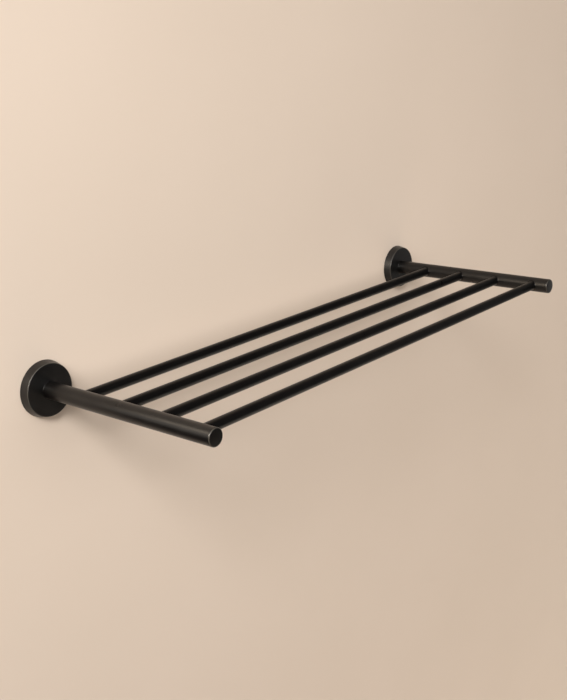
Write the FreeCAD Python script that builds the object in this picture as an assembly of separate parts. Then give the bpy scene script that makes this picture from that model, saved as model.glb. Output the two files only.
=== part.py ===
import FreeCAD
import Part
import math
import os

# Wall-mounted towel shelf: two round arms stand square out of the wall and carry four round rails.
# Each arm is bolted to a rose, a shallow cup that covers a wall plate and is clamped to it from below.
# Millimetres. +Z up, the wall is the plane Y = 0, the shelf reaches towards -Y.
# The origin lies on the wall, midway between the two arms, at the height of their axes.

# Shelf frame
ARM_SPACING = 548.0       # between the axes of the two arms
ARM_DIAMETER = 16.0
ARM_WALL = 1.5
RAIL_DIAMETER = 10.0
RAIL_WALL = 1.0
FIRST_RAIL_DISTANCE = 48.5  # from the wall to the axis of the back rail
RAIL_PITCH = 47.4         # from one rail's axis to the next
RAIL_END_SHORT = 2.0      # how far a rail's end stays short of the arm's axis
RAIL_FIT = 0.05           # brazing gap round a rail in the arm's wall
RAIL_NAMES = ["back_rail", "second_rail", "third_rail", "front_rail"]

# End cap of an arm
CAP_THICKNESS = 2.0
CAP_EDGE_RADIUS = 1.2
CAP_SPIGOT = 6.0          # length of the spigot inside the arm
CAP_FIT = 0.03            # gap round the spigot
CAP_TO_RAIL = 6.3         # clear length between the front rail and the spigot

# Rose, the cup over the wall plate
ROSE_DIAMETER = 52.0      # at the wall
ROSE_TAPER = 1.7          # how far the rim leans in between the wall and the face
ROSE_RIM = 3.5            # thickness of the rim at the wall
ROSE_FACE = 2.0           # thickness of the front
ROSE_EDGE_RADIUS = 0.7

# Wall plate
PLATE_THICKNESS = 5.6
PLATE_TO_ROSE = 0.8       # clear depth between the plate and the inside of the rose
PLATE_FIT = 0.3           # gap between the plate's edge and the rim
PLATE_CHAMFER = 0.6
PLATE_FLAT = 1.0          # depth of the flat that the set screw bears on
WALL_SCREW_HOLE_DIAMETER = 5.0
WALL_SCREW_HEAD_DIAMETER = 9.4  # countersink at the plate's front, 90 degrees

# Bolt that draws the arm against the rose, with its washer and the plug it is threaded into
BOLT_DIAMETER = 6.0
BOLT_LENGTH = 12.0        # under the head
BOLT_HEAD_DIAMETER = 10.0
BOLT_HEAD_HEIGHT = 4.0
BOLT_SOCKET = 4.0         # hexagon socket, across flats
BOLT_SOCKET_DEPTH = 2.0
BOLT_CLEARANCE = 0.2      # gap round the bolt in the rose
WASHER_DIAMETER = 11.8
WASHER_THICKNESS = 1.6
WASHER_SPLIT = 1.0        # width of the split in the spring washer
WASHER_FIT = 0.1          # gap between the washer and the bolt
WASHER_ROOM = 1.9         # gap round the washer in the wall plate
PLUG_LENGTH = 14.0
PLUG_FIT = 0.03           # brazing gap round the plug in the arm
THREAD_FIT = 0.05         # gap that stands for a thread
EDGE_CHAMFER = 0.4        # broken edges of the turned fasteners

# Set screw in the underside of the rose
SET_SCREW_DIAMETER = 4.0
SET_SCREW_EDGE = 1.5      # rim left between the set screw's hole and the wall
SET_SCREW_SUNK = 0.4      # how far its outer end lies inside the rim
SET_SCREW_TIP_GAP = 0.05  # between its tip and the flat on the plate
SET_SCREW_SOCKET = 2.0    # hexagon socket, across flats
SET_SCREW_SOCKET_DEPTH = 1.6

# Sizes that follow from those above
MARGIN = 1.0              # how far a cutting tool runs past the face it cuts
LARGEST_ROUNDING = 0.9    # share of a wall that a rounded edge may take up
HEXAGON_SIDES = 6
arm_radius = ARM_DIAMETER / 2
arm_bore_radius = arm_radius - ARM_WALL
rail_radius = RAIL_DIAMETER / 2
rail_depths = [FIRST_RAIL_DISTANCE + index * RAIL_PITCH for index in range(len(RAIL_NAMES))]
rail_half_length = ARM_SPACING / 2 - RAIL_END_SHORT
spigot_end = rail_depths[-1] + rail_radius + CAP_TO_RAIL
cap_seat = spigot_end + CAP_SPIGOT
reach = cap_seat + CAP_THICKNESS
rose_radius = ROSE_DIAMETER / 2
face_radius = rose_radius - ROSE_TAPER
cup_radius = rose_radius - ROSE_RIM
cup_depth = max(PLATE_THICKNESS, WASHER_THICKNESS + BOLT_HEAD_HEIGHT) + PLATE_TO_ROSE
rose_depth = cup_depth + ROSE_FACE
plate_radius = cup_radius - PLATE_FIT
plate_bore_radius = max(WASHER_DIAMETER, BOLT_HEAD_DIAMETER) / 2 + WASHER_ROOM
wall_screw_offset = (plate_bore_radius + plate_radius) / 2
thread_radius = BOLT_DIAMETER / 2 + THREAD_FIT
head_seat = cup_depth - WASHER_THICKNESS
set_screw_depth = SET_SCREW_DIAMETER / 2 + SET_SCREW_EDGE
flat_height = plate_radius - PLATE_FLAT
set_screw_top = flat_height + SET_SCREW_TIP_GAP
set_screw_front = set_screw_depth + SET_SCREW_DIAMETER / 2
set_screw_bottom = rose_radius - ROSE_TAPER * set_screw_front / rose_depth - SET_SCREW_SUNK

ALONG_X = FreeCAD.Vector(1, 0, 0)
ALONG_Y = FreeCAD.Vector(0, 1, 0)
ALONG_Z = FreeCAD.Vector(0, 0, 1)
INTO_ROOM = FreeCAD.Vector(0, -1, 0)
DOWN = FreeCAD.Vector(0, 0, -1)


def turned(outline, rounding=None):
    """Turn an outline of (radius, distance from the wall) corners about the Y axis.

    rounding gives the radius for a corner by its index.
    """
    rounding = rounding or {}
    corners = [FreeCAD.Vector(radius, -distance, 0) for radius, distance in outline]
    entries = []
    exits = []
    edges = []
    for index, corner in enumerate(corners):
        radius = rounding.get(index, 0)
        back = (corners[index - 1] - corner).normalize()
        onward = (corners[(index + 1) % len(corners)] - corner).normalize()
        half_angle = back.getAngle(onward) / 2
        setback = radius / math.tan(half_angle)
        entries.append(corner + back * setback)
        exits.append(corner + onward * setback)
        if index > 0:
            edges.append(Part.LineSegment(exits[-2], entries[-1]).toShape())
        if radius > 0:
            inward = (back + onward).normalize()
            middle = corner + inward * (radius / math.sin(half_angle) - radius)
            edges.append(Part.Arc(entries[-1], middle, exits[-1]).toShape())
    edges.append(Part.LineSegment(exits[-1], entries[0]).toShape())
    return Part.Face(Part.Wire(edges)).revolve(FreeCAD.Vector(0, 0, 0), ALONG_Y, 360)


def hexagon_socket(across_flats, depth, start, direction):
    """Hexagonal prism that cuts a socket of this depth from start along direction."""
    corner_radius = across_flats / 2 / math.cos(math.pi / HEXAGON_SIDES)
    circle = Part.Circle(FreeCAD.Vector(0, 0, 0), ALONG_Z, corner_radius)
    corners = [circle.value(2 * math.pi * step / HEXAGON_SIDES) for step in range(HEXAGON_SIDES + 1)]
    prism = Part.Face(Part.makePolygon(corners)).extrude(ALONG_Z * (depth + MARGIN))
    prism.Placement = FreeCAD.Placement(start - direction * MARGIN, FreeCAD.Rotation(ALONG_Z, direction))
    return prism


def rose():
    """Cup with a leaning rim, a rounded front edge, a bolt hole and a threaded hole in its underside."""
    bolt_hole = BOLT_DIAMETER / 2 + BOLT_CLEARANCE
    edge = min(ROSE_EDGE_RADIUS, LARGEST_ROUNDING * ROSE_FACE)
    cup = turned([(bolt_hole, cup_depth), (bolt_hole, rose_depth), (face_radius, rose_depth),
                  (rose_radius, 0), (cup_radius, 0), (cup_radius, cup_depth)], {2: edge})
    hole_radius = SET_SCREW_DIAMETER / 2 + THREAD_FIT
    hole_start = FreeCAD.Vector(0, -set_screw_depth, MARGIN - cup_radius)
    hole = Part.makeCylinder(hole_radius, ROSE_RIM + 2 * MARGIN, hole_start, DOWN)
    return cup.cut(hole)


def wall_plate():
    """Ring that is screwed to the wall, with two countersunk holes and a flat underneath."""
    chamfer = min(PLATE_CHAMFER, PLATE_THICKNESS / 2)
    plate = turned([(plate_bore_radius, 0), (plate_radius, 0), (plate_radius, PLATE_THICKNESS - chamfer),
                    (plate_radius - chamfer, PLATE_THICKNESS), (plate_bore_radius, PLATE_THICKNESS)])
    hole_radius = WALL_SCREW_HOLE_DIAMETER / 2
    head_radius = WALL_SCREW_HEAD_DIAMETER / 2
    for height in (-wall_screw_offset, wall_screw_offset):
        start = FreeCAD.Vector(0, MARGIN, height)
        plate = plate.cut(Part.makeCylinder(hole_radius, PLATE_THICKNESS + 2 * MARGIN, start, INTO_ROOM))
        sink_start = FreeCAD.Vector(0, head_radius - hole_radius - PLATE_THICKNESS, height)
        sink = Part.makeCone(hole_radius, head_radius, head_radius - hole_radius, sink_start, INTO_ROOM)
        plate = plate.cut(sink)
    below_flat = Part.makeBox(2 * plate_radius, PLATE_THICKNESS + 2 * MARGIN, plate_radius,
                              FreeCAD.Vector(-plate_radius, -PLATE_THICKNESS - MARGIN,
                                             -flat_height - plate_radius))
    return plate.cut(below_flat)


def set_screw():
    """Grub screw that stands in the rim with its tip at the plate's flat and its socket below."""
    length = set_screw_bottom - set_screw_top
    radius = SET_SCREW_DIAMETER / 2
    chamfer = min(EDGE_CHAMFER, length / 4)
    body = turned([(0, 0), (radius - chamfer, 0), (radius, chamfer), (radius, length - chamfer),
                   (radius - chamfer, length), (0, length)])
    body.rotate(FreeCAD.Vector(0, 0, 0), ALONG_X, 90)
    body.translate(FreeCAD.Vector(0, -set_screw_depth, -set_screw_top))
    socket_start = FreeCAD.Vector(0, -set_screw_depth, -set_screw_bottom)
    socket_depth = min(SET_SCREW_SOCKET_DEPTH, length / 2)
    return body.cut(hexagon_socket(SET_SCREW_SOCKET, socket_depth, socket_start, ALONG_Z))


def arm_tube(inward):
    """Tube from the rose to the end cap, bored for the rails on the side that faces inward (+1 or -1)."""
    length = cap_seat - rose_depth
    start = FreeCAD.Vector(0, -rose_depth, 0)
    tube = Part.makeCylinder(arm_radius, length, start, INTO_ROOM)
    bore = Part.makeCylinder(arm_bore_radius, length, start, INTO_ROOM)
    tube = tube.cut(bore)
    for depth in rail_depths:
        bore_start = FreeCAD.Vector(inward * (RAIL_END_SHORT - RAIL_FIT), -depth, 0)
        seat = Part.makeCylinder(rail_radius + RAIL_FIT, ARM_DIAMETER, bore_start, ALONG_X * inward)
        tube = tube.cut(seat)
    return tube


def end_cap():
    """Disc with a rounded front edge and a spigot that fits the arm's bore."""
    spigot_radius = arm_bore_radius - CAP_FIT
    chamfer = min(EDGE_CHAMFER, CAP_SPIGOT / 2)
    edge = min(CAP_EDGE_RADIUS, LARGEST_ROUNDING * CAP_THICKNESS)
    return turned([(0, spigot_end), (spigot_radius - chamfer, spigot_end),
                   (spigot_radius, spigot_end + chamfer), (spigot_radius, cap_seat),
                   (arm_radius, cap_seat), (arm_radius, reach), (0, reach)], {5: edge})


def base_plug():
    """Threaded plug brazed into the wall end of the arm, flush with it."""
    radius = arm_bore_radius - PLUG_FIT
    inner_end = rose_depth + PLUG_LENGTH
    return turned([(thread_radius, rose_depth), (radius, rose_depth), (radius, inner_end - EDGE_CHAMFER),
                   (radius - EDGE_CHAMFER, inner_end), (thread_radius, inner_end)])


def arm_bolt():
    """Socket-head bolt from inside the rose, through its face, into the plug."""
    head_radius = BOLT_HEAD_DIAMETER / 2
    shank_radius = BOLT_DIAMETER / 2
    head_back = head_seat - BOLT_HEAD_HEIGHT
    tip = head_seat + BOLT_LENGTH
    bolt = turned([(0, head_back), (head_radius - EDGE_CHAMFER, head_back),
                   (head_radius, head_back + EDGE_CHAMFER), (head_radius, head_seat),
                   (shank_radius, head_seat), (shank_radius, tip - EDGE_CHAMFER),
                   (shank_radius - EDGE_CHAMFER, tip), (0, tip)])
    socket_start = FreeCAD.Vector(0, -head_back, 0)
    socket_depth = min(BOLT_SOCKET_DEPTH, BOLT_HEAD_HEIGHT / 2)
    return bolt.cut(hexagon_socket(BOLT_SOCKET, socket_depth, socket_start, INTO_ROOM))


def spring_washer():
    """Flat ring, split on its upper side, between the bolt's head and the rose."""
    inner_radius = BOLT_DIAMETER / 2 + WASHER_FIT
    outer_radius = WASHER_DIAMETER / 2
    ring = turned([(inner_radius, head_seat), (outer_radius, head_seat),
                   (outer_radius, cup_depth), (inner_radius, cup_depth)])
    split = Part.makeBox(WASHER_SPLIT, WASHER_THICKNESS + 2 * MARGIN, outer_radius + MARGIN,
                         FreeCAD.Vector(-WASHER_SPLIT / 2, -cup_depth - MARGIN, 0))
    return ring.cut(split)


def rail(depth):
    """Tube along the wall at this distance from it, with each end inside an arm."""
    start = FreeCAD.Vector(-rail_half_length, -depth, 0)
    tube = Part.makeCylinder(rail_radius, 2 * rail_half_length, start, ALONG_X)
    bore = Part.makeCylinder(rail_radius - RAIL_WALL, 2 * rail_half_length, start, ALONG_X)
    return tube.cut(bore)


def build():
    """Return every piece by its name, in place."""
    pieces = {}
    for side, inward in (("left", 1), ("right", -1)):
        pair = {
            "wall_plate": wall_plate(),
            "rose": rose(),
            "rose_set_screw": set_screw(),
            "arm_tube": arm_tube(inward),
            "arm_end_cap": end_cap(),
            "arm_base_plug": base_plug(),
            "arm_bolt": arm_bolt(),
            "arm_bolt_washer": spring_washer(),
        }
        for name, shape in pair.items():
            shape.translate(ALONG_X * (-inward * ARM_SPACING / 2))
            pieces[f"{name}_{side}"] = shape
    for name, depth in zip(RAIL_NAMES, rail_depths):
        pieces[name] = rail(depth)
    return pieces


os.makedirs("parts", exist_ok=True)
for node, shape in build().items():
    shape.exportStep(f"parts/{node}.step")
    print(f"{node}: {len(shape.Solids)} solid, {shape.Volume:.1f} mm3, valid {shape.isValid()}")
print(f"width {ARM_SPACING + ROSE_DIAMETER:.1f}, reach {reach:.1f}, height {ROSE_DIAMETER:.1f}")
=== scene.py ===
"""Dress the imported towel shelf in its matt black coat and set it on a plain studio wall."""
import logging
import math
from dataclasses import dataclass
from enum import Enum

import bmesh
import bpy
import numpy as np
from mathutils import Matrix, Vector


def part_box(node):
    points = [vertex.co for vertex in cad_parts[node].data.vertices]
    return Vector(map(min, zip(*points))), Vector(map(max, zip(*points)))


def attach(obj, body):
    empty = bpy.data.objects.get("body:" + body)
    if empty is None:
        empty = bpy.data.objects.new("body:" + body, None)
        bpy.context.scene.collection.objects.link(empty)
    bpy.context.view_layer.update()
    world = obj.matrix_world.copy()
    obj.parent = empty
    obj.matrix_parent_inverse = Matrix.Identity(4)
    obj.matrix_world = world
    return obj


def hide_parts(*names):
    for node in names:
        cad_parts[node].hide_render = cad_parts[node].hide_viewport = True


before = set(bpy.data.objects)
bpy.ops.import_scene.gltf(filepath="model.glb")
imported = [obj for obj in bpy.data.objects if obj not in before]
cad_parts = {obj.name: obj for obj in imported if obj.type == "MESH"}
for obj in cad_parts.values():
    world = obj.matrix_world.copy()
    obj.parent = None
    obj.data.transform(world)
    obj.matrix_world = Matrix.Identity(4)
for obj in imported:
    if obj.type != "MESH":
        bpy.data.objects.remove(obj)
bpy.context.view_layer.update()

MM = 0.001
IMAGE_WIDTH_PX = 567
IMAGE_HEIGHT_PX = 700
SENSOR_MM = 36.0
MERGE_DISTANCE = 0.002 * MM
# A colour Mix node's sockets: its factor, its two colours and its result.
MIX_FACTOR, MIX_FIRST, MIX_SECOND, MIX_RESULT = 0, 6, 7, 2
# How far a rose's rim leans in between the wall and its face, as in the part's source.
ROSE_LEAN = 1.7 * MM
# How far inside the square corner of a cap or a rose the painted highlight line runs.
CAP_EDGE_IN = 0.35 * MM
ROSE_EDGE_IN = 0.2 * MM
# On the arms and roses the coat flows out to more gloss than on the rails.
ARM_COAT_IOR = 1.4
ROSE_COAT_IOR = 1.5
ROSE_COAT_ROUGHNESS = 0.36
WARM_LAMP = "#ffe9cb"
COOL_LAMP = "#e4f2ee"
LOG = logging.getLogger("towel_shelf")


class Side(Enum):
    """The two ends of the shelf; the value is the direction along X."""

    LEFT = -1
    RIGHT = 1

    def named(self, pair: str) -> str:
        """Return the name of this side's CAD node or body of a pair."""
        return f"{pair}_{self.name.lower()}"


class RailPlace(Enum):
    """The rails from the wall outwards; the value is the CAD node's name."""

    BACK = "back_rail"
    SECOND = "second_rail"
    THIRD = "third_rail"
    FRONT = "front_rail"


class Slot(Enum):
    """The record's material slots of the pieces that are made here."""

    COAT = "matt_black_coat"
    OXIDE = "black_oxide_steel"


@dataclass(frozen=True)
class NodeBox:
    """A CAD node's box at rest, in metres."""

    low: Vector
    high: Vector

    @classmethod
    def of(cls, node: str) -> "NodeBox":
        """Return the box of the CAD node with this name."""
        return cls(*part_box(node))

    @property
    def centre(self) -> Vector:
        """The middle of the box."""
        return (self.low + self.high) / 2

    @property
    def size(self) -> Vector:
        """The box's lengths along X, Y and Z."""
        return self.high - self.low


def linear(hex_colour: str) -> tuple[float, float, float, float]:
    """Turn an sRGB hex colour into linear light.

    Up to 0.04045 a value is divided by 12.92, and above it is ((v + 0.055) / 1.055) to the power 2.4.

    Args:
        hex_colour: six hex digits after a hash sign.

    Returns:
        Red, green, blue and an alpha of one.
    """
    values = [int(hex_colour[start:start + 2], 16) / 255 for start in (1, 3, 5)]
    parts = [v / 12.92 if v <= 0.04045 else ((v + 0.055) / 1.055) ** 2.4 for v in values]
    return (*parts, 1.0)


def add_node(tree: bpy.types.NodeTree, kind: str, settings: dict[str | int, object] | None = None,
             links: dict[str | int, bpy.types.NodeSocket] | None = None) -> bpy.types.Node:
    """Add a shader node with its settings and links.

    Args:
        tree: the node tree that gets the node.
        kind: the node's class name.
        settings: values by property name, or by input name (capital first letter) or number.
        links: output sockets by the name or number of the input that takes them.

    Returns:
        The new node.
    """
    node = tree.nodes.new(kind)
    for key, value in (settings or {}).items():
        if isinstance(key, int) or key[0].isupper():
            node.inputs[key].default_value = value
        else:
            setattr(node, key, value)
    for key, socket in (links or {}).items():
        tree.links.new(socket, node.inputs[key])
    return node


def new_material(name: str) -> tuple[bpy.types.Material, bpy.types.NodeTree, bpy.types.NodeSocket]:
    """Make a node material that holds only its Object coordinates.

    Args:
        name: the material's name.

    Returns:
        The material, its node tree and the socket with the Object coordinates.
    """
    material = bpy.data.materials.new(name)
    material.use_nodes = True
    tree = material.node_tree
    tree.nodes.clear()
    return material, tree, add_node(tree, "ShaderNodeTexCoord").outputs["Object"]


def radius_about_arms(tree: bpy.types.NodeTree, parts: bpy.types.Node,
                      axis_x: float) -> bpy.types.NodeSocket:
    """Add the nodes that measure the distance from the nearer arm's axis.

    The axes stand at plus and minus axis_x, so it is the length of (|x| - axis_x, z).

    Args:
        tree: the node tree that gets the nodes.
        parts: the node that parts an Object coordinate into X, Y and Z.
        axis_x: how far each axis stands from the middle.

    Returns:
        The socket with the distance, in metres.
    """
    outward = add_node(tree, "ShaderNodeMath", {"operation": "ABSOLUTE"}, {0: parts.outputs["X"]})
    across = add_node(tree, "ShaderNodeMath", {"operation": "SUBTRACT", 1: axis_x},
                      {0: outward.outputs[0]})
    flat = add_node(tree, "ShaderNodeCombineXYZ",
                    links={"X": across.outputs[0], "Y": parts.outputs["Z"]})
    length = add_node(tree, "ShaderNodeVectorMath", {"operation": "LENGTH"}, {0: flat.outputs[0]})
    return length.outputs["Value"]


def skin_rings(name: str, rings: np.ndarray, sharp_degrees: float = 35.0) -> bpy.types.Object:
    """Skin a stack of closed rings into one closed mesh.

    Point j of ring i joins point j of ring i + 1, and the last point of a ring joins the first.
    A ring whose points coincide becomes a pole, and a last ring equal to the first closes a tube.

    Args:
        name: the piece's name.
        rings: an array of shape (rings, points, 3), in metres.
        sharp_degrees: edges that turn by more than this stay crisp.

    Returns:
        The new object, at the origin.
    """
    ring_count, point_count, _ = rings.shape
    start = np.arange(ring_count - 1)[:, None] * point_count
    here = np.arange(point_count)[None, :]
    beside = (here + 1) % point_count
    corners = [start + here, start + beside, start + point_count + beside, start + point_count + here]
    quads = np.stack(np.broadcast_arrays(*corners), axis=-1).reshape(-1, 4)
    mesh = bpy.data.meshes.new(name)
    mesh.from_pydata(rings.reshape(-1, 3).tolist(), [], quads.tolist())
    shell = bmesh.new()
    shell.from_mesh(mesh)
    bmesh.ops.remove_doubles(shell, verts=shell.verts, dist=MERGE_DISTANCE)
    bmesh.ops.recalc_face_normals(shell, faces=shell.faces)
    shell.to_mesh(mesh)
    shell.free()
    mesh.polygons.foreach_set("use_smooth", np.ones(len(mesh.polygons), dtype=bool))
    mesh.set_sharp_from_angle(angle=math.radians(sharp_degrees))
    piece = bpy.data.objects.new(name, mesh)
    bpy.context.scene.collection.objects.link(piece)
    return piece


def turn_about_arm(profile: np.ndarray, axis_x: float, points: int) -> np.ndarray:
    """Turn a profile about an arm's axis.

    A profile point (radius, distance from the wall) at angle a lands on
    (axis_x + radius cos a, -distance, radius sin a).

    Args:
        profile: an array of shape (n, 2), in metres.
        axis_x: where the axis stands along X.
        points: points round each ring.

    Returns:
        Rings of shape (n, points, 3).
    """
    angle = np.linspace(0.0, 2 * np.pi, points, endpoint=False)
    radius, distance = profile[:, 0, None], profile[:, 1, None]
    x = axis_x + radius * np.cos(angle)
    y = np.broadcast_to(-distance, x.shape)
    z = radius * np.sin(angle)
    return np.stack([x, y, z], axis=-1)


def quarter_arc(start: tuple[float, float], corner: tuple[float, float], steps: int) -> np.ndarray:
    """Give the points of a quarter circle that rounds a square corner of a profile.

    With radius vectors p = corner - start and q square to it, the point at angle t is
    start + p sin t + q (1 - cos t), so the arc leaves start along p and ends beside the corner.

    Args:
        start: where the arc leaves the first side, as (radius, distance).
        corner: the square corner, as (radius, distance).
        steps: the number of points, both ends included.

    Returns:
        An array of shape (steps, 2).
    """
    first = np.array(start)
    along = np.array(corner) - first
    across = np.array([-along[1], along[0]]) * (1.0 if along[1] > 0 else -1.0)
    angle = np.linspace(0.0, np.pi / 2, steps)[:, None]
    return first + along * np.sin(angle) + across * (1 - np.cos(angle))


def dress(piece: bpy.types.Object, material: bpy.types.Material) -> None:
    """Give a piece one material.

    Args:
        piece: the object to dress.
        material: its only material.
    """
    piece.data.materials.clear()
    piece.data.materials.append(material)


def stand_in(piece: bpy.types.Object, node: str, body: str,
             material: bpy.types.Material) -> None:
    """Put a finished piece in the place of a CAD node and report it.

    Args:
        piece: the finished object.
        node: the CAD node that it stands for.
        body: the CAD body that it rides on.
        material: its material.
    """
    dress(piece, material)
    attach(piece, body)
    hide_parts(node)
    LOG.info("%s: %d faces, rides on %s, stands for %s", piece.name, len(piece.data.polygons),
             body, node)


@dataclass(frozen=True)
class PaintedHighlightRing:
    """A ring round each arm's axis along a round edge, where a paler colour is painted as a highlight,
    in metres.
    """

    axis_x: float
    radius: float
    distance: float
    reach: float = 0.7 * MM

    def painted_highlight_share(self, tree: bpy.types.NodeTree, place: bpy.types.NodeSocket) -> bpy.types.NodeSocket:
        """Add the nodes that say how much of the painted highlight a point gets.

        With g the distance to the ring, the length of (radius - ring's radius, y + ring's distance), it
        falls from one at g = 0 to none at g = reach as a smooth step.

        Args:
            tree: the node tree that gets the nodes.
            place: the socket with the Object coordinates.

        Returns:
            The socket with the share, from none to one.
        """
        parts = add_node(tree, "ShaderNodeSeparateXYZ", links={"Vector": place})
        inward = add_node(tree, "ShaderNodeMath", {"operation": "SUBTRACT", 1: self.radius},
                          {0: radius_about_arms(tree, parts, self.axis_x)})
        outward = add_node(tree, "ShaderNodeMath", {"operation": "ADD", 1: self.distance},
                           {0: parts.outputs["Y"]})
        gap = add_node(tree, "ShaderNodeCombineXYZ",
                       links={"X": inward.outputs[0], "Y": outward.outputs[0]})
        length = add_node(tree, "ShaderNodeVectorMath", {"operation": "LENGTH"}, {0: gap.outputs[0]})
        # The painted highlight is strongest on the ring and fades to none at reach.
        share = add_node(tree, "ShaderNodeMapRange",
                         {"interpolation_type": "SMOOTHSTEP", "From Min": self.reach, "From Max": 0.0},
                         {"Value": length.outputs["Value"]})
        return share.outputs["Result"]


@dataclass(frozen=True)
class PowderCoat:
    """Matt black polyester powder coat, sprayed and cured on steel.

    The eye gets a near-black body, a broad soft sheen that takes the colour of what it faces, and a
    faint orange peel that breaks the sheen up close. On the thin rails it keeps a low sheen, and on
    the arms and roses, which hold the curing heat for longer, it flows out to more gloss. A thin paler
    line along a rounded edge is a painted highlight.
    """

    base: str
    colour: str = "#070606"
    roughness: float = 0.32
    roughness_spread: float = 0.05
    ior: float = 1.27
    peel_mm: float = 0.9
    peel_height_mm: float = 0.004
    peel_detail: float = 2.0
    mottle_mm: float = 12.0
    mottle_detail: float = 1.0
    mottle_low: float = 0.2
    mottle_high: float = 0.8
    # Colour of the painted highlight line along a rounded edge.
    painted_highlight_colour: str = "#403d38"
    edge: PaintedHighlightRing | None = None

    def material(self) -> bpy.types.Material:
        """Build the coat's material.

        The mottle shifts the roughness to either side of its value, and the peel is a bump.

        Returns:
            The material, named for the piece under the coat.
        """
        material, tree, place = new_material(f"matt_black_powder_coat_on_{self.base}")
        mottle = add_node(tree, "ShaderNodeTexNoise",
                          {"Scale": 1 / (self.mottle_mm * MM), "Detail": self.mottle_detail},
                          {"Vector": place})
        rough = add_node(tree, "ShaderNodeMapRange",
                         {"From Min": self.mottle_low, "From Max": self.mottle_high,
                          "To Min": self.roughness - self.roughness_spread,
                          "To Max": self.roughness + self.roughness_spread},
                         {"Value": mottle.outputs["Fac"]})
        # Real orange peel is about 0.4 mm across; it is drawn twice as coarse so that it shows.
        peel = add_node(tree, "ShaderNodeTexNoise",
                        {"Scale": 1 / (self.peel_mm * MM), "Detail": self.peel_detail},
                        {"Vector": place})
        bump = add_node(tree, "ShaderNodeBump", {"Distance": self.peel_height_mm * MM},
                        {"Height": peel.outputs["Fac"]})
        shader = add_node(tree, "ShaderNodeBsdfPrincipled",
                          {"Base Color": linear(self.colour), "IOR": self.ior},
                          {"Roughness": rough.outputs["Result"], "Normal": bump.outputs["Normal"]})
        # Along the edge ring a paler colour is painted into the base colour as a highlight.
        if self.edge:
            tint = add_node(tree, "ShaderNodeMix",
                            {"data_type": "RGBA", MIX_FIRST: linear(self.colour),
                             MIX_SECOND: linear(self.painted_highlight_colour)},
                            {MIX_FACTOR: self.edge.painted_highlight_share(tree, place)})
            tree.links.new(tint.outputs[MIX_RESULT], shader.inputs["Base Color"])
        add_node(tree, "ShaderNodeOutputMaterial", links={"Surface": shader.outputs["BSDF"]})
        return material


@dataclass(frozen=True)
class ZincPlate:
    """Satin zinc plating on a pressed steel disc: cool grey, with a fine cloudy spangle."""

    pale: str = "#b9bdc2"
    dark: str = "#8f949b"
    roughness: float = 0.52
    spangle_mm: float = 3.0
    grain_mm: float = 0.25
    grain_height_mm: float = 0.002
    grain_detail: float = 2.0

    def material(self) -> bpy.types.Material:
        """Build the plating's material.

        Returns:
            The material.
        """
        material, tree, place = new_material("satin_zinc_plated_steel")
        spangle = add_node(tree, "ShaderNodeTexVoronoi",
                           {"Scale": 1 / (self.spangle_mm * MM)}, {"Vector": place})
        tint = add_node(tree, "ShaderNodeMix",
                        {"data_type": "RGBA", MIX_FIRST: linear(self.dark),
                         MIX_SECOND: linear(self.pale)},
                        {MIX_FACTOR: spangle.outputs["Color"]})
        # Real plating has a finer grain; it is drawn coarser so that it shows.
        grain = add_node(tree, "ShaderNodeTexNoise",
                         {"Scale": 1 / (self.grain_mm * MM), "Detail": self.grain_detail},
                         {"Vector": place})
        bump = add_node(tree, "ShaderNodeBump", {"Distance": self.grain_height_mm * MM},
                        {"Height": grain.outputs["Fac"]})
        shader = add_node(tree, "ShaderNodeBsdfPrincipled",
                          {"Metallic": 1.0, "Roughness": self.roughness},
                          {"Base Color": tint.outputs[MIX_RESULT], "Normal": bump.outputs["Normal"]})
        add_node(tree, "ShaderNodeOutputMaterial", links={"Surface": shader.outputs["BSDF"]})
        return material


@dataclass(frozen=True)
class TurnedSteel:
    """Bright stainless steel from a lathe: fine rings round each arm's axis streak the gloss."""

    axis_x: float
    pale: str = "#c9c7c3"
    dark: str = "#a9a7a3"
    roughness: float = 0.28
    ring_mm: float = 0.35
    ring_height_mm: float = 0.003

    def material(self) -> bpy.types.Material:
        """Build the steel's material.

        The rings are a sine of the distance from the nearer arm's axis, one period to a ring.

        Returns:
            The material.
        """
        material, tree, place = new_material("turned_stainless_steel")
        parts = add_node(tree, "ShaderNodeSeparateXYZ", links={"Vector": place})
        # Real tool marks lie about 0.1 mm apart; they are drawn coarser so that they show.
        phase = add_node(tree, "ShaderNodeMath",
                         {"operation": "MULTIPLY", 1: 2 * math.pi / (self.ring_mm * MM)},
                         {0: radius_about_arms(tree, parts, self.axis_x)})
        ring = add_node(tree, "ShaderNodeMath", {"operation": "SINE"}, {0: phase.outputs[0]})
        share = add_node(tree, "ShaderNodeMapRange", {"From Min": -1.0}, {"Value": ring.outputs[0]})
        tint = add_node(tree, "ShaderNodeMix",
                        {"data_type": "RGBA", MIX_FIRST: linear(self.dark),
                         MIX_SECOND: linear(self.pale)},
                        {MIX_FACTOR: share.outputs["Result"]})
        bump = add_node(tree, "ShaderNodeBump", {"Distance": self.ring_height_mm * MM},
                        {"Height": share.outputs["Result"]})
        shader = add_node(tree, "ShaderNodeBsdfPrincipled",
                          {"Metallic": 1.0, "Roughness": self.roughness},
                          {"Base Color": tint.outputs[MIX_RESULT], "Normal": bump.outputs["Normal"]})
        add_node(tree, "ShaderNodeOutputMaterial", links={"Surface": shader.outputs["BSDF"]})
        return material


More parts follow.
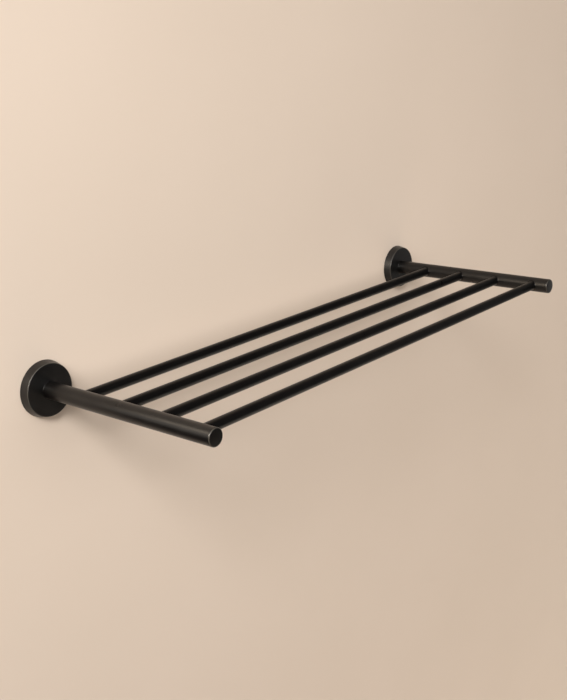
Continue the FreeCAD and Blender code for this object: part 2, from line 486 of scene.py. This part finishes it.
@dataclass(frozen=True)
class BlackOxide:
    """Black oxide on hardened steel: blue-black, thin, with an oily, slightly uneven gloss."""

    thick: str = "#1b1c1f"
    thin: str = "#35363a"
    roughness: float = 0.36
    cloud_mm: float = 1.2
    cloud_detail: float = 3.0

    def material(self) -> bpy.types.Material:
        """Build the oxide's material.

        Returns:
            The material.
        """
        material, tree, place = new_material("black_oxide_hardened_steel")
        cloud = add_node(tree, "ShaderNodeTexNoise",
                         {"Scale": 1 / (self.cloud_mm * MM), "Detail": self.cloud_detail},
                         {"Vector": place})
        tint = add_node(tree, "ShaderNodeMix",
                        {"data_type": "RGBA", MIX_FIRST: linear(self.thick),
                         MIX_SECOND: linear(self.thin)},
                        {MIX_FACTOR: cloud.outputs["Fac"]})
        shader = add_node(tree, "ShaderNodeBsdfPrincipled",
                          {"Metallic": 1.0, "Roughness": self.roughness},
                          {"Base Color": tint.outputs[MIX_RESULT]})
        add_node(tree, "ShaderNodeOutputMaterial", links={"Surface": shader.outputs["BSDF"]})
        return material


@dataclass(frozen=True)
class WallPaint:
    """Flat emulsion on plaster, a warm pale beige; seen from behind it lets everything through."""

    pale: str = "#decebf"
    dark: str = "#d9c9b9"
    cloud_mm: float = 220.0
    cloud_detail: float = 2.0
    roughness: float = 0.85
    touch_mm: float = 2.0

    def material(self) -> bpy.types.Material:
        """Build the paint's material.

        Rays that meet the wall from behind, or leave what lies flat against it, go through it, so that
        the back of the shelf can be seen and lit.

        Returns:
            The material.
        """
        material, tree, place = new_material("flat_wall_paint")
        cloud = add_node(tree, "ShaderNodeTexNoise",
                         {"Scale": 1 / (self.cloud_mm * MM), "Detail": self.cloud_detail},
                         {"Vector": place})
        tint = add_node(tree, "ShaderNodeMix",
                        {"data_type": "RGBA", MIX_FIRST: linear(self.dark),
                         MIX_SECOND: linear(self.pale)},
                        {MIX_FACTOR: cloud.outputs["Fac"]})
        paint = add_node(tree, "ShaderNodeBsdfPrincipled", {"Roughness": self.roughness},
                         {"Base Color": tint.outputs[MIX_RESULT]})
        behind = add_node(tree, "ShaderNodeNewGeometry").outputs["Backfacing"]
        reach = add_node(tree, "ShaderNodeLightPath").outputs["Ray Length"]
        touching = add_node(tree, "ShaderNodeMath", {"operation": "LESS_THAN", 1: self.touch_mm * MM},
                            {0: reach})
        through = add_node(tree, "ShaderNodeMath", {"operation": "MAXIMUM"},
                           {0: behind, 1: touching.outputs[0]})
        clear = add_node(tree, "ShaderNodeBsdfTransparent")
        shader = add_node(tree, "ShaderNodeMixShader",
                          links={0: through.outputs[0], 1: paint.outputs["BSDF"],
                                 2: clear.outputs["BSDF"]})
        add_node(tree, "ShaderNodeOutputMaterial", links={"Surface": shader.outputs["Shader"]})
        return material


@dataclass(frozen=True)
class Finishes:
    """The materials of the shelf."""

    rail_coat: bpy.types.Material
    arm_coat: bpy.types.Material
    cap_coat: bpy.types.Material
    rose_coat: bpy.types.Material
    zinc: bpy.types.Material
    steel: bpy.types.Material
    oxide: bpy.types.Material

    @classmethod
    def make(cls) -> "Finishes":
        """Build every finish once.

        Returns:
            The materials, with the painted highlight lines placed from the CAD nodes' boxes.
        """
        cap, rose = (NodeBox.of(Side.RIGHT.named(name)) for name in ("arm_end_cap", "rose"))
        axis_x = rose.centre.x
        # Rings along the front edges of the caps and roses, where a paler line is painted as a
        # highlight.
        cap_highlight_line = PaintedHighlightRing(axis_x, radius=cap.size.x / 2 - CAP_EDGE_IN,
                            distance=-cap.low.y - CAP_EDGE_IN)
        rose_highlight_line = PaintedHighlightRing(axis_x, radius=rose.size.z / 2 - ROSE_LEAN - ROSE_EDGE_IN,
                             distance=-rose.low.y - ROSE_EDGE_IN)
        rose_coat = PowderCoat("rose", roughness=ROSE_COAT_ROUGHNESS, ior=ROSE_COAT_IOR, edge=rose_highlight_line)
        return cls(rail_coat=PowderCoat("rail").material(),
                   arm_coat=PowderCoat("arm", ior=ARM_COAT_IOR).material(),
                   cap_coat=PowderCoat("cap", ior=ARM_COAT_IOR, edge=cap_highlight_line).material(),
                   rose_coat=rose_coat.material(),
                   zinc=ZincPlate().material(),
                   steel=TurnedSteel(axis_x).material(),
                   oxide=BlackOxide().material())


@dataclass(frozen=True)
class Rail:
    """A round rail with a small brazed fillet where each end meets an arm."""

    place: RailPlace
    fillet: float = 0.8 * MM
    sunk: float = 0.4 * MM
    points: int = 72
    fillet_steps: int = 8
    body: str = "shelf"

    def half_rings(self, side: Side) -> np.ndarray:
        """Work out the rings from the end at one arm to the middle.

        Along the fillet, at angle t, the ring stands s = f (1 - cos t) clear of the arm with radius
        r + f (1 - sin t). At angle a round the rail its height is z = radius sin a, the arm's skin is
        there e = spacing / 2 - sqrt(R R - z z) from the middle, and the point lies at
        x = e (1 - s / e0), where e0 is e at z = 0, so that the rings flatten towards the middle.

        Args:
            side: the end to work out.

        Returns:
            Rings of shape (n, points, 3), from the pole inside the arm to the middle of the rail.
        """
        box = NodeBox.of(self.place.value)
        arm = NodeBox.of(side.named("arm_tube"))
        radius = box.size.z / 2
        arm_radius = arm.size.x / 2
        turn = np.linspace(0.0, np.pi / 2, self.fillet_steps)
        shortest = abs(arm.centre.x) - arm_radius
        clear = np.concatenate([[-self.sunk, -self.sunk], self.fillet * (1 - np.cos(turn)), [shortest]])
        skin = np.concatenate([[0.0, radius + self.fillet], radius + self.fillet * (1 - np.sin(turn)),
                               [radius]])
        angle = np.linspace(0.0, 2 * np.pi, self.points, endpoint=False)
        y = box.centre.y + skin[:, None] * np.cos(angle)
        z = skin[:, None] * np.sin(angle)
        end = abs(arm.centre.x) - np.sqrt(arm_radius ** 2 - z ** 2)
        x = side.value * end * (1 - clear[:, None] / shortest)
        return np.stack([x, y, z], axis=-1)

    def build(self, finishes: Finishes) -> None:
        """Make the rail in place of its CAD node.

        Args:
            finishes: the shelf's materials.
        """
        left = self.half_rings(Side.LEFT)
        right = self.half_rings(Side.RIGHT)[:-1][::-1]
        piece = skin_rings(f"{self.place.value}_skin", np.concatenate([left, right]))
        stand_in(piece, self.place.value, self.body, finishes.rail_coat)


@dataclass(frozen=True)
class Arm:
    """A round arm: a tube with a fillet of coat at the rose, and a cap that closes its free end."""

    side: Side
    fillet: float = 0.3 * MM
    sunk: float = 0.05 * MM
    seam: float = 0.08 * MM
    edge: float = 1.2 * MM
    plug_gap: float = 0.03 * MM
    points: int = 96
    steps: int = 10
    body: str = "shelf"

    def tube_profile(self) -> np.ndarray:
        """Outline the tube's wall: fillet, skin, seam edge, bore and back to the foot.

        At angle t the fillet of radius f stands f (1 - cos t) out from the rose and f (1 - sin t) out
        from the tube's skin.

        Returns:
            Points of (radius, distance from the wall), in an array of shape (n, 2).
        """
        box = NodeBox.of(self.side.named("arm_tube"))
        radius = box.size.x / 2
        bore = NodeBox.of(self.side.named("arm_base_plug")).size.x / 2 + self.plug_gap
        near, far = -box.high.y, -box.low.y
        turn = np.linspace(0.0, np.pi / 2, self.steps)
        flare = np.stack([radius + self.fillet * (1 - np.sin(turn)),
                          near + self.fillet * (1 - np.cos(turn))], axis=-1)
        foot = [(radius + self.fillet, near - self.sunk)]
        rest = [(radius, far - self.seam), (radius - self.seam, far), (bore, far),
                (bore, near - self.sunk)]
        return np.concatenate([foot, flare, rest, foot])

    def cap_profile(self) -> np.ndarray:
        """Outline the cap: spigot, seam edge, side, rounded edge and flat front.

        Returns:
            Points of (radius, distance from the wall), in an array of shape (n, 2).
        """
        box = NodeBox.of(self.side.named("arm_end_cap"))
        tube = NodeBox.of(self.side.named("arm_tube"))
        spigot = NodeBox.of(self.side.named("arm_base_plug")).size.x / 2
        radius = box.size.x / 2
        seat, front, back = -tube.low.y, -box.low.y, -box.high.y
        start = [(0.0, back), (spigot, back), (spigot, seat), (radius - self.seam, seat),
                 (radius, seat + self.seam)]
        rounded = quarter_arc((radius, front - self.edge), (radius, front), self.steps)
        return np.concatenate([start, rounded, [(0.0, front)]])

    def build(self, finishes: Finishes) -> None:
        """Make the tube and the cap in place of their CAD nodes.

        Args:
            finishes: the shelf's materials.
        """
        axis_x = NodeBox.of(self.side.named("arm_tube")).centre.x
        for name, profile, coat in (("arm_tube", self.tube_profile(), finishes.arm_coat),
                                    ("arm_end_cap", self.cap_profile(), finishes.cap_coat)):
            node = self.side.named(name)
            piece = skin_rings(f"{node}_skin", turn_about_arm(profile, axis_x, self.points))
            stand_in(piece, node, self.body, coat)


@dataclass(frozen=True)
class SetScrew:
    """A grub screw in the underside of a rose: a threaded body with a hexagon socket below."""

    side: Side
    pitch: float = 0.7 * MM
    thread: float = 0.36 * MM
    clear: float = 0.02 * MM
    chamfer: float = 0.35 * MM
    socket: float = 2.0 * MM
    socket_sides: int = 6
    socket_depth: float = 1.6 * MM
    drill_point: float = 0.4 * MM
    points: int = 48
    rows_per_turn: int = 14

    def rings(self) -> np.ndarray:
        """Work out the screw from the tip's pole to the socket's pole.

        The thread's radius at height h and angle a is the outer radius less the thread's depth times
        the triangle wave of h / pitch - a / 2 pi; towards both ends a chamfer limits it. The socket's
        radius at angle a is (flats / 2) / cos b, where b is a folded into half a side either way.

        Returns:
            Rings of shape (n, points, 3).
        """
        box = NodeBox.of(self.side.named("rose_set_screw"))
        outer = box.size.x / 2 - self.clear
        length = box.size.z
        angle = np.linspace(0.0, 2 * np.pi, self.points, endpoint=False)
        rows = int(length / self.pitch * self.rows_per_turn)
        height = np.linspace(0.0, length, rows)[:, None]
        wave = np.abs((height / self.pitch - angle / (2 * np.pi)) % 1.0 * 2 - 1)
        limit = outer - self.chamfer + np.minimum(height, length - height)
        body = np.minimum(outer - self.thread * wave, limit)
        sector = 2 * np.pi / self.socket_sides
        folded = (angle + sector / 2) % sector - sector / 2
        hexagon = (self.socket / 2) / np.cos(folded)
        none = np.zeros_like(angle)
        radius = np.concatenate([[none], body, [hexagon, hexagon, none]])
        depth = np.concatenate([[0.0], height[:, 0],
                                [length, length - self.socket_depth,
                                 length - self.socket_depth - self.drill_point]])
        x = box.centre.x + radius * np.cos(angle)
        y = box.centre.y + radius * np.sin(angle)
        z = np.broadcast_to(box.high.z - depth[:, None], x.shape)
        return np.stack([x, y, z], axis=-1)

    def build(self, finishes: Finishes) -> None:
        """Make the screw in place of its CAD node.

        Args:
            finishes: the shelf's materials.
        """
        node = self.side.named("rose_set_screw")
        piece = skin_rings(f"{node}_thread", self.rings())
        stand_in(piece, node, self.side.named("set_screw"), finishes.oxide)


@dataclass(frozen=True)
class CarriedNodes:
    """The CAD nodes whose shape is kept, by finish, without their side."""

    coat: tuple[str, ...] = ("rose",)
    zinc: tuple[str, ...] = ("wall_plate",)
    steel: tuple[str, ...] = ("arm_base_plug", "arm_bolt", "arm_bolt_washer")

    def dress_all(self, finishes: Finishes) -> None:
        """Give each kept node its finish.

        Args:
            finishes: the shelf's materials.
        """
        for names, material in ((self.coat, finishes.rose_coat), (self.zinc, finishes.zinc),
                                (self.steel, finishes.steel)):
            for name in names:
                for side in Side:
                    node = side.named(name)
                    dress(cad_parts[node], material)
                    LOG.info("%s: CAD shape kept, dressed in %s", node, material.name)


@dataclass(frozen=True)
class StudioWall:
    """A plain wall that sweeps into a floor: one profile of (Y, Z) carried along X."""

    behind: float = 0.5 * MM
    top: float = 2.2
    floor: float = -1.6
    sweep: float = 0.5
    depth: float = 3.2
    left: float = -0.38
    right: float = 2.3
    steps: int = 24

    def build(self) -> None:
        """Make the wall; it faces the room."""
        turn = np.linspace(0.0, np.pi / 2, self.steps)
        y = np.concatenate([[self.behind], self.behind - self.sweep * (1 - np.cos(turn)),
                            [-self.depth]])
        z = np.concatenate([[self.top], self.floor + self.sweep * (1 - np.sin(turn)), [self.floor]])
        x = np.array([self.left, self.right])[:, None]
        grid = np.stack(np.broadcast_arrays(x, y[None, :], z[None, :]), axis=-1)
        count = len(y)
        here = np.arange(count - 1)
        quads = np.stack([here, here + 1, here + 1 + count, here + count], axis=-1)
        mesh = bpy.data.meshes.new("studio_wall")
        mesh.from_pydata(grid.reshape(-1, 3).tolist(), [], quads.tolist())
        mesh.polygons.foreach_set("use_smooth", np.ones(len(mesh.polygons), dtype=bool))
        wall = bpy.data.objects.new("studio_wall", mesh)
        bpy.context.scene.collection.objects.link(wall)
        dress(wall, WallPaint().material())
        LOG.info("studio wall: %d faces", len(mesh.polygons))


@dataclass(frozen=True)
class SoftBox:
    """A square soft studio lamp that points at a target; a grid may narrow its beam."""

    name: str
    place: tuple[float, float, float]
    target: tuple[float, float, float]
    width: float
    watts: float
    colour: str = "#fffdfa"
    beam_degrees: float = 180.0

    def build(self) -> None:
        """Make the lamp."""
        lamp = bpy.data.lights.new(self.name, "AREA")
        lamp.shape = "SQUARE"
        lamp.size = self.width
        lamp.energy = self.watts
        lamp.spread = math.radians(self.beam_degrees)
        lamp.color = linear(self.colour)[:3]
        holder = bpy.data.objects.new(self.name, lamp)
        holder.location = self.place
        aim = Vector(self.target) - Vector(self.place)
        holder.rotation_euler = aim.to_track_quat("-Z", "Y").to_euler()
        holder.visible_camera = False
        bpy.context.scene.collection.objects.link(holder)
        LOG.info("lamp %s: %.1f W", self.name, self.watts)


@dataclass(frozen=True)
class Surroundings:
    """A room with high windows on its left, a faint glow at its far right and light behind the wall.

    Camera rays see a pale backdrop instead, and so do gloss and glass that face behind the wall.
    """

    room: str = "#fff7ef"
    bright: float = 1.2
    dim: float = 0.02
    bright_until: float = -0.5
    dim_from: float = 0.35
    low_until: float = -0.15
    high_from: float = 0.25
    glow: float = 0.73
    glow_from: float = 0.78
    glow_full: float = 0.96
    behind: float = 0.6
    behind_from: float = 0.86
    behind_full: float = 0.97
    backdrop: str = "#e0d2c3"

    def build(self) -> None:
        """Make the world.

        The windows' share rises towards -X and upwards, the glow's towards +X and that of the light
        behind the wall towards +Y, all as smooth steps of the direction's parts; the lights' sum is the
        strength. The backdrop's share in gloss and glass is that of the light behind the wall.
        """
        world = bpy.data.worlds.new("room")
        world.use_nodes = True
        tree = world.node_tree
        tree.nodes.clear()
        direction = add_node(tree, "ShaderNodeTexCoord").outputs["Generated"]
        parts = add_node(tree, "ShaderNodeSeparateXYZ", links={"Vector": direction})
        leftness, height, rightness, backness = (
            add_node(tree, "ShaderNodeMapRange",
                     {"interpolation_type": "SMOOTHSTEP", "From Min": none_at, "From Max": full_at},
                     {"Value": parts.outputs[axis]}).outputs["Result"]
            for axis, none_at, full_at in (("X", self.dim_from, self.bright_until),
                                           ("Z", self.low_until, self.high_from),
                                           ("X", self.glow_from, self.glow_full),
                                           ("Y", self.behind_from, self.behind_full)))
        share = add_node(tree, "ShaderNodeMath", {"operation": "MULTIPLY"}, {0: leftness, 1: height})
        window = add_node(tree, "ShaderNodeMapRange", {"To Min": self.dim, "To Max": self.bright},
                          {"Value": share.outputs[0]})
        glow = add_node(tree, "ShaderNodeMath", {"operation": "MULTIPLY", 1: self.glow}, {0: rightness})
        back_light = add_node(tree, "ShaderNodeMath", {"operation": "MULTIPLY", 1: self.behind},
                              {0: backness})
        sides = add_node(tree, "ShaderNodeMath", {"operation": "ADD"},
                         {0: glow.outputs[0], 1: back_light.outputs[0]})
        strength = add_node(tree, "ShaderNodeMath", {"operation": "ADD"},
                            {0: window.outputs["Result"], 1: sides.outputs[0]})
        room = add_node(tree, "ShaderNodeBackground", {"Color": linear(self.room)},
                        {"Strength": strength.outputs[0]})
        pale = add_node(tree, "ShaderNodeBackground", {"Color": linear(self.backdrop)})
        path = add_node(tree, "ShaderNodeLightPath")
        mirrored = add_node(tree, "ShaderNodeMath", {"operation": "MAXIMUM"},
                            {0: path.outputs["Is Glossy Ray"], 1: path.outputs["Is Transmission Ray"]})
        mirrored_back = add_node(tree, "ShaderNodeMath", {"operation": "MULTIPLY"},
                                 {0: mirrored.outputs[0], 1: backness})
        seen = add_node(tree, "ShaderNodeMath", {"operation": "MAXIMUM"},
                        {0: path.outputs["Is Camera Ray"], 1: mirrored_back.outputs[0]})
        mix = add_node(tree, "ShaderNodeMixShader",
                       links={0: seen.outputs[0], 1: room.outputs["Background"],
                              2: pale.outputs["Background"]})
        add_node(tree, "ShaderNodeOutputWorld", links={"Surface": mix.outputs["Shader"]})
        bpy.context.scene.world = world
        LOG.info("room: windows %.2f, glow %.2f, behind %.2f", self.bright, self.glow, self.behind)


@dataclass(frozen=True)
class PhotoCamera:
    """The photograph's camera: turned from +Y towards +X by yaw, tipped down by pitch, then rolled."""

    focal_px: float = 1072.7
    yaw: float = 49.071
    pitch: float = 17.131
    roll: float = 2.734
    place: tuple[float, float, float] = (-0.81513, -0.75140, 0.30266)
    nearest: float = 0.01

    def build(self) -> None:
        """Make the camera and set it as the scene's."""
        yaw, pitch, roll = (math.radians(v) for v in (self.yaw, self.pitch, self.roll))
        ahead = Vector((math.sin(yaw) * math.cos(pitch), math.cos(yaw) * math.cos(pitch),
                        -math.sin(pitch)))
        level = Vector((math.cos(yaw), -math.sin(yaw), 0.0))
        down = ahead.cross(level)
        right = level * math.cos(roll) + down * math.sin(roll)
        up = level * math.sin(roll) - down * math.cos(roll)
        turn = Matrix((right, up, -ahead)).transposed()
        lens = bpy.data.cameras.new("photo_camera")
        lens.sensor_width = SENSOR_MM
        lens.lens = self.focal_px / max(IMAGE_WIDTH_PX, IMAGE_HEIGHT_PX) * SENSOR_MM
        lens.clip_start = self.nearest
        camera = bpy.data.objects.new("photo_camera", lens)
        camera.matrix_world = Matrix.Translation(self.place) @ turn.to_4x4()
        bpy.context.scene.collection.objects.link(camera)
        bpy.context.scene.camera = camera
        LOG.info("camera: lens %.2f mm", lens.lens)


LAMPS = (
    SoftBox("key", place=(-1.65, -1.25, 1.35), target=(-0.05, 0.0, 0.0), width=0.5, watts=29.5),
    SoftBox("left", place=(-1.5, -0.45, 0.75), target=(0.1, 0.0, 0.2), width=0.5, watts=4.8,
            beam_degrees=110.0),
    SoftBox("edge", place=(-1.8, 0.15, 0.95), target=(-0.05, -0.12, 0.0), width=0.6, watts=40.0,
            colour=WARM_LAMP),
    SoftBox("rim", place=(-0.96, 0.8, 0.89), target=(-0.274, -0.15, 0.0), width=0.5, watts=2.9,
            colour=WARM_LAMP),
    SoftBox("front", place=(0.3, -2.8, 0.8), target=(0.2, 0.0, -0.1), width=1.6, watts=23.0),
    SoftBox("wash", place=(1.3, -0.8, -1.3), target=(0.85, 0.0, -0.7), width=0.6, watts=0.9,
            colour=COOL_LAMP, beam_degrees=120.0),
)


def main() -> None:
    """Build and dress the shelf, then the stage, the lamps and the camera."""
    logging.basicConfig(level=logging.INFO, format="%(name)s %(message)s")
    finishes = Finishes.make()
    for place in RailPlace:
        Rail(place).build(finishes)
    for side in Side:
        Arm(side).build(finishes)
        SetScrew(side).build(finishes)
    CarriedNodes().dress_all(finishes)
    StudioWall().build()
    for lamp in LAMPS:
        lamp.build()
    Surroundings().build()
    PhotoCamera().build()
    bpy.context.scene.view_settings.view_transform = "Standard"


if __name__ == "__main__":
    main()
